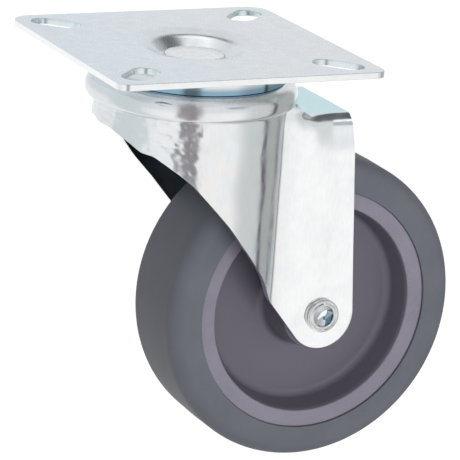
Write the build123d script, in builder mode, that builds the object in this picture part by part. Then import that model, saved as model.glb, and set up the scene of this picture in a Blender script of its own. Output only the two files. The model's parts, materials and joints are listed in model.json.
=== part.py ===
from build123d import *

import os
from math import asin, atan2, cos, degrees, hypot, radians, sin

# A swivel castor: a plate that is bolted under a load, a fork that turns
# under it on two rows of balls, and a wheel that trails behind the kingpin.
# The origin is the middle of the plate's top face, on the kingpin's axis.
# +Z is up, the wheel trails towards +X and its axle lies along Y.

# Top plate
plate_side = 88.4
plate_thickness = 2.0
plate_corner_radius = 6.0
plate_edge_radius = 0.5
slot_length = 16.4
slot_width = 8.9
slot_inset = 11.45
slot_count = 4

# Dish pressed down in the middle of the plate
dish_lip_radius = 19.5
dish_floor_radius = 11.5
dish_depth = 4.8

# Cap under the plate, over the upper balls
cap_thickness = 2.0
cap_radius = 29.0
cap_corner_radius = 4.0
cap_height = 7.0

# Kingpin
kingpin_radius = 6.0
kingpin_head_radius = 9.5
kingpin_head_height = 1.8
kingpin_end_radius = 8.2
kingpin_end_height = 2.6
kingpin_edge_radius = 0.6
fixed_clearance = 0.05

# Balls and the grooves that they run in
upper_ball_radius = 3.0
upper_ball_count = 20
lower_ball_radius = 2.5
lower_ball_count = 16
lower_row_radius = 16.0
ball_clearance = 0.08
groove_slack = 0.3
coined_depth = 0.4

# Fork, one sheet: crown, skirt, shelf and legs
fork_thickness = 2.0
crown_hole_radius = 14.2
groove_bend_radius = 2.5
groove_bend_angle = 30.0
bead_radius = 4.6
bead_reach = 32.8
skirt_radius = 30.2
shelf_drop = 20.0
shelf_reach = 46.8
shelf_bend_radius = 5.0
crease_radius = 1.2
leg_spread = 41.4
leg_end_radius = 11.0

# Side view of the fork's front edge, from the bead down to the leg's end
skirt_front_drop = 21.8
step_reach = 24.6
step_drop = 28.4
step_width = 2.6
step_height = 0.6
knee_reach = 12.0
knee_drop = 36.1
waist_trail = 1.5
waist_drop = 50.8
shin_trail = 15.8
shin_drop = 68.8
ankle_run = 4.7
ankle_fall = 8.5
edge_bend_radius = 25.0

# Lower race cup
cup_thickness = 2.0
cup_corner_radius = 2.5
cup_lip = 0.8

# Axle
trail = 40.4
axle_drop = 84.8
rivet_radius = 4.0
rivet_rim_radius = 5.4
rivet_rim_height = 1.9
rivet_rim_edge = 0.8
rivet_recess_radius = 3.7
rivet_recess_depth = 3.0
rivet_cone_depth = 1.6
rivet_head_radius = 7.0
rivet_head_height = 2.2
rivet_head_edge = 1.0
sleeve_radius = 6.0
sleeve_clearance = 0.05
bore_clearance = 0.06

# Wheel
wheel_radius = 50.0
tyre_half_width = 16.0
tyre_shoulder_radius = 5.2
tread_crown = 0.25
tyre_depth = 10.6
rim_half_width = 15.3
rim_wall = 5.0
rim_face_slope = 0.8
web_half_thickness = 5.0
dish_wall_taper = 2.0
dish_fillet = 2.5
boss_radius = 12.0
boss_base_radius = 13.4
boss_end_gap = 0.4
key_depth = 2.0
key_half_width = 5.0

# Heights down the kingpin's axis, each from the piece above
head_height = kingpin_head_height - dish_depth
plate_floor = -dish_depth - plate_thickness
cap_floor = plate_floor - cap_thickness
cup_floor = cap_floor - cup_thickness
pin_end = cup_floor - kingpin_end_height
upper_row_height = -plate_thickness - cap_thickness - ball_clearance - upper_ball_radius
upper_row_radius = cap_radius - cap_thickness - ball_clearance - upper_ball_radius
groove_radius = upper_ball_radius + groove_slack
groove_bottom = upper_row_height - upper_ball_radius - ball_clearance
groove_bend = radians(groove_bend_angle)
crown_height = groove_bottom + (groove_radius + groove_bend_radius) * (1 - cos(groove_bend))
coined_top = crown_height - fork_thickness + coined_depth
lower_row_height = coined_top - ball_clearance - lower_ball_radius
channel_radius = lower_ball_radius + groove_slack
channel_height = lower_row_height - lower_ball_radius - ball_clearance + channel_radius
coined_height = coined_top - channel_radius
kingpin_hole_radius = kingpin_radius + fixed_clearance
slot_offset = plate_side / 2 - slot_inset

# The dish's slope is two equal arcs, tangent to each other and to both flats
dish_run = dish_lip_radius - dish_floor_radius
dish_arc_radius = (dish_run**2 + dish_depth**2) / (4 * dish_depth)
dish_arc_angle = degrees(2 * atan2(dish_depth, dish_run))

# Fork levels and the side view of its legs
bead_centre_radius = bead_reach - bead_radius
bead_sweep = 180 - degrees(asin((skirt_radius - bead_centre_radius) / bead_radius))
leg_outer = leg_spread / 2
leg_inner = leg_outer - fork_thickness
blank_bottom = -axle_drop - 2 * leg_end_radius
blank_rear = trail + 2 * leg_end_radius
ankle_trail = shin_trail + ankle_run
ankle_drop = shin_drop + ankle_fall
ankle_distance = hypot(trail - ankle_trail, axle_drop - ankle_drop)
ankle_slope = atan2(ankle_drop - axle_drop, trail - ankle_trail)
leg_front_angle = ankle_slope - asin(leg_end_radius / ankle_distance)

# Places on the axle
axle_origin = (trail, 0, -axle_drop)
axle_plane = Plane(origin=axle_origin, x_dir=(1, 0, 0), z_dir=(0, 0, 1))
axle_axis = Axis(axle_origin, (0, 1, 0))
boss_half_length = leg_inner - boss_end_gap

# Wheel radii, from the tread inwards
rim_radius = wheel_radius - tyre_depth
rim_inner_radius = rim_radius - rim_wall
dish_wall_radius = rim_inner_radius - dish_wall_taper

os.makedirs("parts", exist_ok=True)


def dish_slope(start, depth):
    """Two tangent arcs from the dish's floor up to its lip, at one depth in the stack of sheets."""
    rise = JernArc(start @ 1, start % 1, dish_arc_radius + depth, dish_arc_angle)
    return JernArc(rise @ 1, rise % 1, dish_arc_radius - depth, -dish_arc_angle)


# Top plate: a flat square with a slot on each diagonal and the dish in its middle
with BuildPart() as top_plate:
    with BuildSketch(Plane.XY.offset(-plate_thickness)) as plate_outline:
        RectangleRounded(plate_side, plate_side, plate_corner_radius)
        with PolarLocations(hypot(slot_offset, slot_offset), slot_count, start_angle=180 / slot_count):
            SlotOverall(slot_length, slot_width, mode=Mode.SUBTRACT)
        Circle(dish_lip_radius, mode=Mode.SUBTRACT)
    extrude(amount=plate_thickness)
    outer_edges = top_plate.edges().filter_by(
        lambda edge: max(abs(edge.center().X), abs(edge.center().Y)) > plate_side / 2 - plate_corner_radius
        and edge.bounding_box().size.Z < plate_edge_radius
    )
    fillet(outer_edges, plate_edge_radius)
    with BuildSketch(Plane.XZ) as dish_section:
        with BuildLine() as dish_line:
            floor = Line((kingpin_hole_radius, -dish_depth), (dish_floor_radius, -dish_depth))
            dish_slope(floor, 0)
            offset(amount=plate_thickness, side=Side.RIGHT)
        make_face()
    revolve(axis=Axis.Z)
top_plate.part.label = "top_plate"

# Cap: nests under the dish and turns down round the upper balls
with BuildPart() as upper_race_cap:
    with BuildSketch(Plane.XZ) as cap_section:
        with BuildLine() as cap_line:
            floor = Line((kingpin_hole_radius, plate_floor), (dish_floor_radius, plate_floor))
            slope = dish_slope(floor, plate_thickness)
            flat = Line(slope @ 1, (cap_radius - cap_corner_radius, -plate_thickness))
            corner = JernArc(flat @ 1, flat % 1, cap_corner_radius, -90)
            Line(corner @ 1, (cap_radius, -plate_thickness - cap_height))
            offset(amount=cap_thickness, side=Side.RIGHT)
        make_face()
    revolve(axis=Axis.Z)
upper_race_cap.part.label = "upper_race_cap"

# Lower race cup: a hat that comes up through the crown to the cap, with a channel for its brim
with BuildPart() as lower_race_cup:
    with BuildSketch(Plane.XZ) as cup_section:
        with BuildLine() as cup_line:
            wall_radius = lower_row_radius - channel_radius
            top = Line((kingpin_hole_radius, cap_floor), (wall_radius - cup_corner_radius, cap_floor))
            corner = JernArc(top @ 1, top % 1, cup_corner_radius, -90)
            wall = Line(corner @ 1, (wall_radius, channel_height))
            channel = JernArc(wall @ 1, wall % 1, channel_radius, 180)
            Line(channel @ 1, (lower_row_radius + channel_radius, channel_height + cup_lip))
            offset(amount=cup_thickness, side=Side.RIGHT)
        make_face()
    revolve(axis=Axis.Z)
lower_race_cup.part.label = "lower_race_cup"

# Kingpin: its head lies in the dish and its end is spread inside the cup
with BuildPart() as kingpin:
    with BuildSketch(Plane.XZ) as kingpin_section:
        with BuildLine() as kingpin_line:
            Polyline(
                (0, head_height),
                (kingpin_head_radius, head_height),
                (kingpin_head_radius, -dish_depth),
                (kingpin_radius, -dish_depth),
                (kingpin_radius, cup_floor),
                (kingpin_end_radius, cup_floor),
                (kingpin_end_radius, pin_end),
                (0, pin_end),
                close=True,
            )
        make_face()
        rims = kingpin_section.vertices().filter_by(lambda corner: corner.X > kingpin_radius + fixed_clearance)
        fillet([rims.sort_by(Axis.Y)[-1], rims.sort_by(Axis.Y)[0]], kingpin_edge_radius)
    revolve(axis=Axis.Z)
kingpin.part.label = "kingpin"

# Fork: a round head and a square channel make one blank, which is shelled to a
# sheet, open below and behind, and then cut to the side view of the legs
with BuildPart() as fork:
    with BuildSketch(Plane.XZ) as head_section:
        with BuildLine() as head_line:
            groove_half_run = (groove_radius + groove_bend_radius) * sin(groove_bend)
            inner_flat = Line((0, crown_height), (upper_row_radius - groove_half_run, crown_height))
            dip = JernArc(inner_flat @ 1, inner_flat % 1, groove_bend_radius, -groove_bend_angle)
            groove = JernArc(dip @ 1, dip % 1, groove_radius, 2 * groove_bend_angle)
            rim = JernArc(groove @ 1, groove % 1, groove_bend_radius, -groove_bend_angle)
            outer_flat = Line(rim @ 1, (bead_centre_radius, crown_height))
            bead = JernArc(outer_flat @ 1, outer_flat % 1, bead_radius, -bead_sweep)
            Polyline(bead @ 1, (skirt_radius, blank_bottom), (0, blank_bottom), (0, crown_height))
        make_face()
    revolve(axis=Axis.Z)
    with BuildSketch(Plane.YZ) as channel_section:
        with BuildLine() as channel_line:
            FilletPolyline(
                (-leg_outer, blank_bottom),
                (-leg_outer, -shelf_drop),
                (leg_outer, -shelf_drop),
                (leg_outer, blank_bottom),
                radius=shelf_bend_radius,
            )
            Line((leg_outer, blank_bottom), (-leg_outer, blank_bottom))
        make_face()
    extrude(amount=blank_rear)
    crease = fork.edges().filter_by(
        lambda edge: all(
            abs(hypot(corner.X, corner.Y) - skirt_radius) < fixed_clearance
            and corner.X > fork_thickness
            and corner.Z < -shelf_drop + fixed_clearance
            for corner in edge.vertices()
        )
        and edge.center().Z > blank_bottom
    )
    fillet(crease, crease_radius)
    open_faces = [fork.faces().sort_by(Axis.Z)[0], fork.faces().sort_by(Axis.X)[-1]]
    offset(amount=-fork_thickness, openings=open_faces)
    with BuildSketch(Plane.XZ) as side_view:
        with BuildLine() as side_line:
            Polyline(
                (-bead_reach, -skirt_front_drop),
                (-bead_reach, 0),
                (shelf_reach, 0),
                (shelf_reach, -shelf_drop),
                (trail + leg_end_radius, -axle_drop),
            )
            leg_end = CenterArc((trail, -axle_drop), leg_end_radius, 0, degrees(leg_front_angle) - 90)
            front_edge = FilletPolyline(
                leg_end @ 1,
                (ankle_trail, -ankle_drop),
                (shin_trail, -shin_drop),
                (waist_trail, -waist_drop),
                (-knee_reach, -knee_drop),
                (step_width - step_reach, -step_drop - step_height),
                radius=edge_bend_radius,
            )
            Polyline(front_edge @ 1, (-step_reach, -step_drop), (-bead_reach, -skirt_front_drop))
        make_face()
    extrude(amount=bead_reach, both=True, mode=Mode.INTERSECT)
    with BuildSketch(Plane.XY.offset(-shelf_drop)) as crown_hole:
        Circle(crown_hole_radius)
    extrude(amount=shelf_drop, mode=Mode.SUBTRACT)
    with BuildSketch(Plane.XZ) as coined_groove:
        with Locations((lower_row_radius, coined_height)):
            Circle(channel_radius)
    revolve(axis=Axis.Z, mode=Mode.SUBTRACT)
    with BuildSketch(Plane.XZ) as axle_hole:
        with Locations((trail, -axle_drop)):
            Circle(rivet_radius + fixed_clearance)
    extrude(amount=bead_reach, both=True, mode=Mode.SUBTRACT)
fork.part.label = "fork"

# Axle sleeve: the tube that the rivet pinches between the legs
with BuildPart() as axle_sleeve:
    with BuildSketch(axle_plane) as sleeve_section:
        with Locations((rivet_radius + sleeve_clearance, 0)):
            Rectangle(
                sleeve_radius - rivet_radius - sleeve_clearance,
                2 * leg_inner,
                align=(Align.MIN, Align.CENTER),
            )
    revolve(axis=axle_axis)
axle_sleeve.part.label = "axle_sleeve"

# Axle rivet: rolled rim on the near leg, factory head on the far leg
with BuildPart() as axle_rivet:
    with BuildSketch(axle_plane) as rivet_section:
        with BuildLine() as rivet_line:
            near_end = -leg_outer - rivet_rim_height
            far_end = leg_outer + rivet_head_height
            Polyline(
                (0, near_end + rivet_recess_depth + rivet_cone_depth),
                (rivet_recess_radius, near_end + rivet_recess_depth),
                (rivet_recess_radius, near_end),
                (rivet_rim_radius, near_end),
                (rivet_rim_radius, -leg_outer),
                (rivet_radius, -leg_outer),
                (rivet_radius, leg_outer),
                (rivet_head_radius, leg_outer),
                (rivet_head_radius, far_end),
                (0, far_end),
                close=True,
            )
        make_face()
        rims = rivet_section.vertices()
        fillet(rims.group_by(Axis.Y)[0].sort_by(Axis.X)[-1], rivet_rim_edge)
        fillet(rivet_section.vertices().group_by(Axis.Y)[-1].sort_by(Axis.X)[-1], rivet_head_edge)
    revolve(axis=axle_axis)
axle_rivet.part.label = "axle_rivet"

# Wheel hub: boss, web, dished walls and a rim with a groove that keys the tyre
with BuildPart() as wheel_hub:
    with BuildSketch(axle_plane) as hub_section:
        with BuildLine() as hub_line:
            Polyline(
                (sleeve_radius + bore_clearance, 0),
                (sleeve_radius + bore_clearance, boss_half_length),
                (boss_radius, boss_half_length),
                (boss_base_radius, web_half_thickness),
                (dish_wall_radius, web_half_thickness),
                (rim_inner_radius, rim_half_width - rim_face_slope),
                (rim_radius, rim_half_width),
                (rim_radius, key_half_width),
                (rim_radius - key_depth, key_half_width),
                (rim_radius - key_depth, 0),
                close=True,
            )
        make_face()
        corners = hub_section.vertices().filter_by(
            lambda corner: abs(corner.Y - web_half_thickness) < fixed_clearance and corner.X < rim_inner_radius
        )
        fillet(corners, dish_fillet)
        mirror(about=Plane.XZ)
    revolve(axis=axle_axis)
wheel_hub.part.label = "wheel_hub"

# Tyre: moulded on the rim, with a rib inside that fills the groove
with BuildPart() as tyre:
    with BuildSketch(axle_plane) as tyre_section:
        with BuildLine() as tyre_line:
            tread = ThreePointArc(
                (wheel_radius - tread_crown, -tyre_half_width),
                (wheel_radius, 0),
                (wheel_radius - tread_crown, tyre_half_width),
            )
            Polyline(
                tread @ 1,
                (rim_radius, tyre_half_width),
                (rim_radius, key_half_width),
                (rim_radius - key_depth, key_half_width),
                (rim_radius - key_depth, -key_half_width),
                (rim_radius, -key_half_width),
                (rim_radius, -tyre_half_width),
                tread @ 0,
            )
        make_face()
        shoulders = tyre_section.vertices().filter_by(lambda corner: corner.X > wheel_radius - 2 * tread_crown)
        fillet(shoulders, tyre_shoulder_radius)
    revolve(axis=axle_axis)
tyre.part.label = "tyre"

pieces = [top_plate, upper_race_cap, lower_race_cup, kingpin, fork]
pieces += [axle_sleeve, axle_rivet, wheel_hub, tyre]
for piece in pieces:
    export_step(piece.part, f"parts/{piece.part.label}.step")

# Two rows of balls, each ball a piece of its own
rows = [
    ("upper_ball", upper_ball_radius, upper_row_radius, upper_row_height, upper_ball_count),
    ("lower_ball", lower_ball_radius, lower_row_radius, lower_row_height, lower_ball_count),
]
for name, ball_radius, row_radius, row_height, count in rows:
    for number, place in enumerate(PolarLocations(row_radius, count)):
        with BuildPart(Plane.XY.offset(row_height)) as ball:
            with Locations(place):
                Sphere(ball_radius)
        ball.part.label = f"{name}_{number + 1:02d}"
        export_step(ball.part, f"parts/{ball.part.label}.step")
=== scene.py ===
import json
from math import asin, atan2, ceil, cos, hypot, pi, radians, sin, tan

import bmesh
import bpy
import numpy as np
from mathutils import Matrix, Vector, noise


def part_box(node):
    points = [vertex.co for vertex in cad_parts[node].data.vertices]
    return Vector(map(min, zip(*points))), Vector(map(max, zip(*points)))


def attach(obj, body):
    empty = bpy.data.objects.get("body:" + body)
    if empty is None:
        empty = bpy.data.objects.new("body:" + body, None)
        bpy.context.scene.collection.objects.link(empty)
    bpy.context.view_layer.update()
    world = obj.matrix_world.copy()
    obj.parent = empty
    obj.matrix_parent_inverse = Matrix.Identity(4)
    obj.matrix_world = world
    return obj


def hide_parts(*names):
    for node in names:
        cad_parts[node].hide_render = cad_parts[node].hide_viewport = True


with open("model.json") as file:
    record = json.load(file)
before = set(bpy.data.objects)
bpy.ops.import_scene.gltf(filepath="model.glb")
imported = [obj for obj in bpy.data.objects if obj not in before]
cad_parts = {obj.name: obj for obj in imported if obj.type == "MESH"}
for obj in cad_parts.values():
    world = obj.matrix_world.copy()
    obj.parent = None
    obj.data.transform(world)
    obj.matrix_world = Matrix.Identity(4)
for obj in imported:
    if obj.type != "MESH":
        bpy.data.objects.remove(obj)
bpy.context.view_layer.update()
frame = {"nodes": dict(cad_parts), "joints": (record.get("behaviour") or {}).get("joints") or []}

# A swivel castor in bright zinc, with a moulded hub and a grey rubber tyre.
# Profiles and outlines below are in millimetres, and meshes are in metres.
# Azimuths are measured from +X, the side to which the wheel trails.
MM = 0.001

plate_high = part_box("top_plate")[1]
fork_low, fork_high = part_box("fork")
hub_low, hub_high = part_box("wheel_hub")
tyre_low, tyre_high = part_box("tyre")
cap_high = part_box("upper_race_cap")[1]
pin_low, pin_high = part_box("kingpin")
rivet_low, rivet_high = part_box("axle_rivet")
wheel_joint = next(joint for joint in frame["joints"] if joint["name"] == "wheel_spin")

PLATE_HALF = plate_high.x / MM
SHEET = 2.0
SLOT_INSET = 11.45
SLOT_OFFSET = PLATE_HALF - SLOT_INSET
DISH_DEPTH = 4.8
TRAIL = wheel_joint["pos_m"][0] / MM
AXLE_DROP = -wheel_joint["pos_m"][2] / MM
LEG_OUTER = 20.7
SKIRT_RADIUS = 30.2
BEAD_REACH = -fork_low.x / MM
BEAD_RADIUS = 4.6
CROWN_TOP = fork_high.z / MM
SHELF_TOP = -20.0
SHELF_BEND = 5.0
SHELF_REACH = 46.8
LEG_END = 11.0
CREASE = 1.2
WHEEL_RADIUS = (tyre_high.x - tyre_low.x) / 2 / MM
TYRE_HALF = tyre_high.y / MM
RIM_RADIUS = (hub_high.x - hub_low.x) / 2 / MM
RIM_WALL = 5.0
BOSS_HALF = hub_high.y / MM


def rounded(corners, step=6.0, closed=False):
    """Points along straight runs between corners (x, y, radius), each corner rounded by an arc."""
    points = []
    last = len(corners) - 1
    for number, (x, y, radius) in enumerate(corners):
        here = Vector((x, y))
        if radius == 0 or (not closed and number in (0, last)):
            points.append(here)
            continue
        back = (Vector(corners[number - 1][:2]) - here).normalized()
        ahead = (Vector(corners[(number + 1) % len(corners)][:2]) - here).normalized()
        turn = pi - back.angle(ahead)
        start = here + back * radius * tan(turn / 2)
        centre = here + (back + ahead).normalized() * radius / cos(turn / 2)
        sign = 1 if back.cross(ahead) < 0 else -1
        count = max(2, ceil(turn / radians(step)))
        for part in range(count + 1):
            spoke = Matrix.Rotation(sign * turn * part / count, 2) @ (start - centre)
            points.append(centre + spoke)
    return np.array([tuple(point) for point in points])


def divided(points, longest, closed=False):
    """The same line with no step longer than the given one."""
    ring = np.vstack([points, points[:1]]) if closed else points
    made = []
    for first, second in zip(ring[:-1], ring[1:]):
        count = max(1, ceil(np.linalg.norm(second - first) / longest))
        made.extend(first + (second - first) * part / count for part in range(count))
    if not closed:
        made.append(ring[-1])
    return np.array(made)


def resampled(points, count):
    """The same line through evenly spaced points."""
    steps = np.concatenate([[0], np.cumsum(np.linalg.norm(np.diff(points, axis=0), axis=1))])
    places = np.linspace(0, steps[-1], count)
    return np.stack([np.interp(places, steps, points[:, axis]) for axis in range(2)], axis=1)


def offset(points, depth):
    """An open line moved to its right by depth."""
    along = np.gradient(points, axis=0)
    along[0] = points[1] - points[0]
    along[-1] = points[-1] - points[-2]
    along /= np.linalg.norm(along, axis=1)[:, None]
    return points + depth * np.stack([along[:, 1], -along[:, 0]], axis=1)


def ramp(value, start, end):
    """Goes smoothly from 0 at start to 1 at end."""
    share = min(1.0, max(0.0, (value - start) / (end - start)))
    return share * share * (3 - 2 * share)


def make(name, vertices, faces, body, nodes, material):
    """A smooth piece from vertices in millimetres, on its body and in place of its CAD nodes."""
    mesh = bpy.data.meshes.new(name)
    mesh.from_pydata((np.asarray(vertices) * MM).tolist(), [], faces)
    work = bmesh.new()
    work.from_mesh(mesh)
    bmesh.ops.remove_doubles(work, verts=work.verts, dist=1e-7)
    bmesh.ops.recalc_face_normals(work, faces=work.faces)
    for face in work.faces:
        face.smooth = True
    work.to_mesh(mesh)
    work.free()
    piece = bpy.data.objects.new(name, mesh)
    bpy.context.scene.collection.objects.link(piece)
    mesh.materials.append(material)
    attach(piece, body)
    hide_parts(*nodes)
    return piece


def grid_faces(rows, columns, first=0):
    """Four-sided faces of a grid of vertices, row by row."""
    faces = []
    for row in range(rows - 1):
        for column in range(columns - 1):
            start = first + row * columns + column
            faces.append((start, start + 1, start + columns + 1, start + columns))
    return faces


def lathe(section, about="Z", segments=180, closed=True):
    """Vertices and faces of a section (radius, height) turned about the kingpin or the axle."""
    ring = np.vstack([section, section[:1]]) if closed else section
    angles = np.linspace(0, 2 * pi, segments + 1)
    reach = np.outer(np.cos(angles), ring[:, 0])
    side = np.outer(np.sin(angles), ring[:, 0])
    height = np.tile(ring[:, 1], (segments + 1, 1))
    if about == "Z":
        points = np.stack([reach, side, height], axis=-1)
    else:
        points = np.stack([TRAIL + reach, height, -AXLE_DROP + side], axis=-1)
    return points.reshape(-1, 3), grid_faces(segments + 1, len(ring))


def weigh_normals(piece):
    """Flat faces keep flat shading next to their rounded edges."""
    modifier = piece.modifiers.new("Even shading", "WEIGHTED_NORMAL")
    modifier.keep_sharp = True


# Shader building


def shader_node(tree, kind, sockets=None, **settings):
    """One node, its settings, and its sockets by name or number, linked where a socket is given."""
    made = tree.nodes.new(kind)
    for key, value in settings.items():
        setattr(made, key, value)
    for key, value in (sockets or {}).items():
        if isinstance(value, bpy.types.NodeSocket):
            tree.links.new(value, made.inputs[key])
        else:
            made.inputs[key].default_value = value
    return made


def new_material(name):
    """A material with its node tree, its shader and the place on the piece."""
    made = bpy.data.materials.new(name)
    made.use_nodes = True
    tree = made.node_tree
    shader = tree.nodes["Principled BSDF"]
    place = shader_node(tree, "ShaderNodeTexCoord").outputs["Object"]
    return made, tree, shader, place


def cloud(tree, place, scale, detail, stretch=(1, 1, 1), rough=0.5):
    """Noise from 0 to 1, its grain stretched along an axis where stretch is below one."""
    spread = shader_node(tree, "ShaderNodeMapping", {"Vector": place, "Scale": stretch})
    made = shader_node(
        tree,
        "ShaderNodeTexNoise",
        {"Vector": spread.outputs["Vector"], "Scale": scale, "Detail": detail, "Roughness": rough},
    )
    return made.outputs["Fac"]


def between(tree, value, low, high, start=0.3, end=0.7):
    """A number that goes from low to high as value goes from start to end."""
    made = shader_node(
        tree,
        "ShaderNodeMapRange",
        {"Value": value, "From Min": start, "From Max": end, "To Min": low, "To Max": high},
        interpolation_type="SMOOTHSTEP",
    )
    return made.outputs["Result"]


def mixed(tree, factor, first, second):
    """First colour where factor is 0, second where it is 1."""
    made = shader_node(tree, "ShaderNodeMix", data_type="RGBA")
    for number, value in ((0, factor), (6, first), (7, second)):
        if isinstance(value, bpy.types.NodeSocket):
            tree.links.new(value, made.inputs[number])
        else:
            made.inputs[number].default_value = value if number == 0 else (*value, 1.0)
    return made.outputs[2]


def bumps(tree, layers):
    """A normal from several (height, distance) layers of bump."""
    normal = None
    for height, distance in layers:
        made = shader_node(tree, "ShaderNodeBump", {"Height": height, "Distance": distance, "Strength": 1.0})
        if normal is not None:
            tree.links.new(normal, made.inputs["Normal"])
        normal = made.outputs["Normal"]
    return normal


def axis_values(tree, place):
    """The three coordinates of a place on the piece, in metres."""
    parts = shader_node(tree, "ShaderNodeSeparateXYZ", {0: place}).outputs
    return parts["X"], parts["Y"], parts["Z"]


def size_of(tree, value):
    """A value without its sign."""
    return shader_node(tree, "ShaderNodeMath", {0: value}, operation="ABSOLUTE").outputs[0]


def both(tree, first, second):
    """The product of two shares, so 1 only where both are 1."""
    return shader_node(tree, "ShaderNodeMath", {0: first, 1: second}, operation="MULTIPLY").outputs[0]


def above(tree, value, level, soft=0.3):
    """1 where value is over level (in millimetres), 0 under it, with a soft step."""
    return between(tree, value, 0, 1, (level - soft) * MM, (level + soft) * MM)


def below(tree, value, level, soft=0.3):
    """1 where value is under level (in millimetres), 0 over it, with a soft step."""
    return between(tree, value, 1, 0, (level - soft) * MM, (level + soft) * MM)


def scaled(tone, share):
    """A tone made darker by a share under 1, or lighter by one over 1."""
    return tuple(share * part for part in tone)


GRAIN_DEPTH = 0.000005
MARK_DEPTH = 0.00002


def zinc(name, tone, blue, warm, rough, grain, wave, regions=None):
    """Bright zinc plate on rolled steel: blue and warm clouds, fine grain, and a faint unevenness.

    rough is the lowest and highest roughness, grain is how far the fine marks are stretched, and
    wave is the height of the unevenness in metres.
    """
    made, tree, shader, place = new_material(name)
    cool = between(tree, cloud(tree, place, 45, 4), 0, 1, 0.42, 0.68)
    tint = mixed(tree, cool, tone, blue)
    warmer = between(tree, cloud(tree, place, 70, 5, (1, 1.6, 1)), 0, 1, 0.5, 0.72)
    tint = mixed(tree, warmer, tint, warm)
    for region, shade in (regions(tree, place) if regions else []):
        tint = mixed(tree, region, tint, shade)
    fine = cloud(tree, place, 1500, 2, grain)
    speckle = between(tree, fine, 0.0, 0.1, 0.25, 0.75)
    tint = mixed(tree, speckle, tint, scaled(tone, 0.72))
    tree.links.new(tint, shader.inputs["Base Color"])
    shader.inputs["Metallic"].default_value = 1.0
    gloss = between(tree, cloud(tree, place, 220, 5), *rough)
    tree.links.new(gloss, shader.inputs["Roughness"])
    layers = [
        (cloud(tree, place, 40, 2), wave),
        (cloud(tree, place, 260, 3), wave / 8),
        (fine, GRAIN_DEPTH),
    ]
    tree.links.new(bumps(tree, layers), shader.inputs["Normal"])
    return made


RIM_BAND = 2
SLOT_CORNER = 24
CAP_TINT_AND_SHADE_DROP = 5.2
SHELF_TINT_WIDTH = 4.6


def plate_regions(tree, place):
    """A bluer front, pale film on the slots' walls, and the bright sheared rim."""
    x, y, z = axis_values(tree, place)
    across, along = size_of(tree, x), size_of(tree, y)
    within = PLATE_HALF - RIM_BAND
    inside = both(tree, below(tree, across, within), below(tree, along, within))
    apart = both(tree, above(tree, across, SLOT_CORNER), above(tree, along, SLOT_CORNER))
    blue_side = between(tree, x, 0, 1, PLATE_HALF * MM, -PLATE_HALF * 2 * MM)
    slots = both(tree, both(tree, inside, apart), below(tree, z, -0.3, 0.15))
    rim = both(tree, below(tree, z, -0.2, 0.1), between(tree, inside, 1, 0, 0.2, 0.8))
    return [(blue_side, (0.77, 0.85, 0.90)), (slots, (0.83, 0.90, 0.92)), (rim, (0.97, 0.98, 0.98))]


def cap_regions(tree, place):
    """Blue tint and painted shade, darkest towards the cap's rim where it meets the crown."""
    z = axis_values(tree, place)[2]
    # Painted shade with a blue tint over the lower part of the cap.
    return [(below(tree, z, -SHEET - CAP_TINT_AND_SHADE_DROP, 1.2), (0.24, 0.40, 0.52))]


def fork_regions(tree, place):
    """Legs painted whiter as a highlight, a blue-green tint on the shelf behind the crown, and the front
    painted greyer as shade.
    """
    x, y, z = axis_values(tree, place)
    # Painted highlight: the legs are painted whiter than the rest of the sheet.
    leg = both(tree, above(tree, x, 25, 5), below(tree, z, SHELF_TOP - 1, 1.5))
    # A blue-green tint on the shelf between the legs, behind the crown.
    middle = below(tree, size_of(tree, y), LEG_OUTER - SHELF_TINT_WIDTH, 0.8)
    shelf = both(tree, middle, above(tree, x, 27, 2.5))
    shelf = both(tree, shelf, above(tree, z, SHELF_TOP - 1, 0.5))
    shelf = both(tree, shelf, below(tree, z, SHELF_TOP + 3, 2))
    # Painted shade: the front of the skirt is painted greyer.
    ahead = below(tree, x, -24, 5)
    return [(leg, (0.97, 0.975, 0.98)), (shelf, (0.60, 0.84, 0.84)), (ahead, (0.76, 0.79, 0.81))]


def steel(name, tone, rough_low, rough_high):
    """Plain turned or polished steel with faint marks."""
    made, tree, shader, place = new_material(name)
    marks = cloud(tree, place, 600, 4)
    tint = mixed(tree, between(tree, marks, 0, 0.35), tone, scaled(tone, 0.7))
    tree.links.new(tint, shader.inputs["Base Color"])
    shader.inputs["Metallic"].default_value = 1.0
    tree.links.new(between(tree, marks, rough_low, rough_high), shader.inputs["Roughness"])
    tree.links.new(bumps(tree, [(marks, MARK_DEPTH)]), shader.inputs["Normal"])
    return made


def moulded(name, tone, light, rough, speck_scale, speck_depth, hollow=None):
    """Moulded plastic or rubber with a fine spark-eroded grain and faint flow clouds.

    hollow is the colour of painted shade inside a hub's rim.
    """
    made, tree, shader, place = new_material(name)
    flow = between(tree, cloud(tree, place, 60, 4, (1, 1, 1), 0.55), 0, 1, 0.35, 0.7)
    tint = mixed(tree, flow, tone, light)
    speck = cloud(tree, place, speck_scale, 3)
    tint = mixed(tree, between(tree, speck, 0, 0.25, 0.35, 0.75), tint, scaled(light, 1.25))
    # Painted shade: the hub is darker inside its rim, where less light falls.
    if hollow:
        x, _, z = axis_values(tree, place)
        apart = shader_node(tree, "ShaderNodeCombineXYZ", {"X": x, "Z": z}).outputs[0]
        axle = (TRAIL * MM, 0, -AXLE_DROP * MM)
        radius = shader_node(tree, "ShaderNodeVectorMath", {0: apart, 1: axle}, operation="DISTANCE")
        inside = below(tree, radius.outputs["Value"], RIM_RADIUS - RIM_WALL - 0.2)
        tint = mixed(tree, inside, tint, hollow)
    tree.links.new(tint, shader.inputs["Base Color"])
    tree.links.new(between(tree, speck, rough, rough + 0.12), shader.inputs["Roughness"])
    tree.links.new(bumps(tree, [(speck, speck_depth)]), shader.inputs["Normal"])
    return made


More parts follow.
